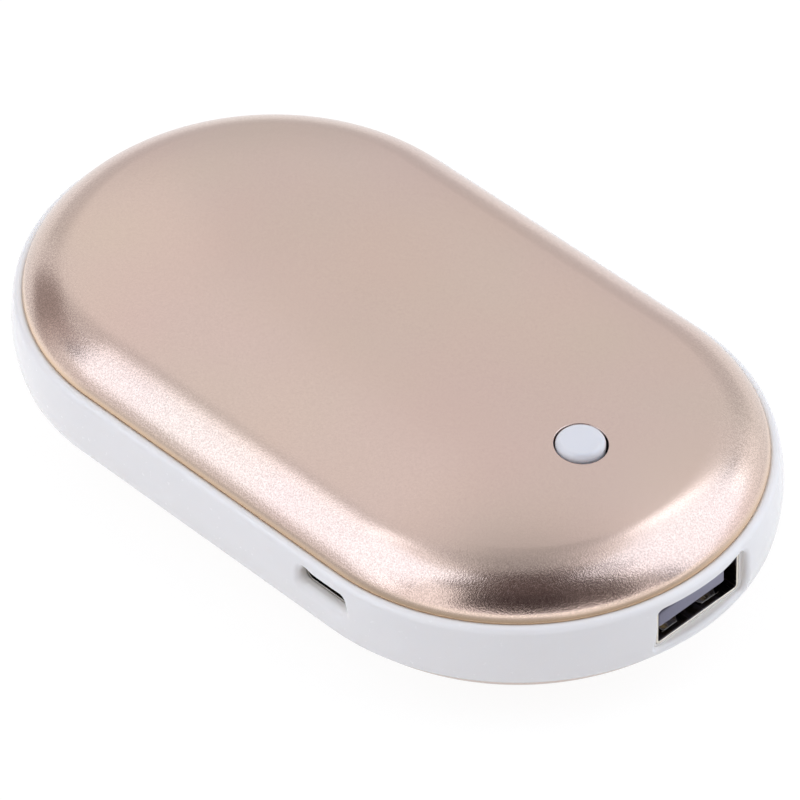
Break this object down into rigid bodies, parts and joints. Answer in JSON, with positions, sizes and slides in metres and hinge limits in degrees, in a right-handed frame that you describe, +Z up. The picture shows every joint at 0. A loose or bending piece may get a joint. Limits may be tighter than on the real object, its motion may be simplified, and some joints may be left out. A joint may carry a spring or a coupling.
{
  "type": "rechargeable hand warmer",
  "caption": "Pebble-shaped electric hand warmer with metal shells on a plastic ring, a round push button, a power outlet and a charging inlet",
  "frame": {"origin": "middle of the flat face that the warmer rests on, under the middle of its outline", "axes": "+X along the length, towards the power outlet; +Y across, away from the charging inlet; +Z up, towards the button"},
  "size_m": [0.1047, 0.062, 0.0241],
  "materials": {
    "gold_aluminium": "bead-blasted and anodised champagne gold",
    "white_plastic": "moulded, glossy, slightly warm white",
    "button_plastic": "moulded, glossy white",
    "dark_plastic": "moulded, dark grey heat-resistant plastic",
    "black_plastic": "moulded, black",
    "socket_steel": "tin-plated folded sheet",
    "tongue_plastic": "moulded, blue-grey insulator",
    "contact_metal": "gold-plated contact strip",
    "plated_steel": "nickel-plated",
    "board_laminate": "green solder mask on glass-fibre laminate",
    "chip_plastic": "moulded chip package",
    "ferrite": "dark grey ferrite",
    "copper_wire": "enamelled copper winding",
    "ceramic": "ceramic chips with tinned ends",
    "lamp_plastic": "clear pale lamp package",
    "cell_pouch": "laminated foil pouch",
    "pad_foam": "adhesive foam",
    "film": "amber polyimide film with etched track",
    "red_lead": "insulated lead",
    "white_lead": "insulated lead",
    "fuse_ceramic": "ceramic fuse body"
  },
  "bodies": {
    "case": {"top_shell": "gold_aluminium", "bottom_shell": "gold_aluminium", "middle_ring": "white_plastic", "top_liner": "dark_plastic", "bottom_liner": "dark_plastic", "switch_base": "black_plastic", "switch_cover": "plated_steel", "switch_dome": "plated_steel", "switch_terminals": "plated_steel", "circuit_board": "board_laminate", "usb_a_shell": "socket_steel", "usb_a_tongue": "tongue_plastic", "usb_a_contacts": "contact_metal", "micro_usb_shell": "socket_steel", "micro_usb_tongue": "black_plastic", "micro_usb_contacts": "contact_metal", "control_chip": "chip_plastic", "charger_chip": "chip_plastic", "inductor_core": "ferrite", "inductor_winding": "copper_wire", "power_transistors": "chip_plastic", "capacitors": "ceramic", "resistors": "chip_plastic", "indicator_leds": "lamp_plastic", "upper_cell": "cell_pouch", "lower_cell": "cell_pouch", "cell_pad": "pad_foam", "upper_foam": "pad_foam", "lower_foam": "pad_foam", "cell_tabs": "plated_steel", "protection_board": "board_laminate", "thermal_fuse": "fuse_ceramic", "battery_leads": "red_lead", "upper_heater_film": "film", "lower_heater_film": "film", "heater_leads": "white_lead", "thermistor": "black_plastic", "cell_frame": "dark_plastic", "case_screws": "plated_steel", "board_screws": "plated_steel"},
    "button": {"button_cap": "button_plastic"},
    "plunger": {"switch_plunger": "black_plastic"}
  },
  "joints": [
    {"name": "button_press", "type": "slide", "parent": "case", "child": "button", "axis": [0, 0, -1], "range_m": [0, 0.0003], "stiffness_N_per_m": 6000, "deforming": ["switch_dome"]},
    {"name": "plunger_press", "type": "slide", "parent": "case", "child": "plunger", "axis": [0, 0, -1], "range_m": [0, 0.0003]}
  ],
  "couplings": [
    {"joint": "plunger_press", "follows": "button_press", "ratio": 1}
  ]
}
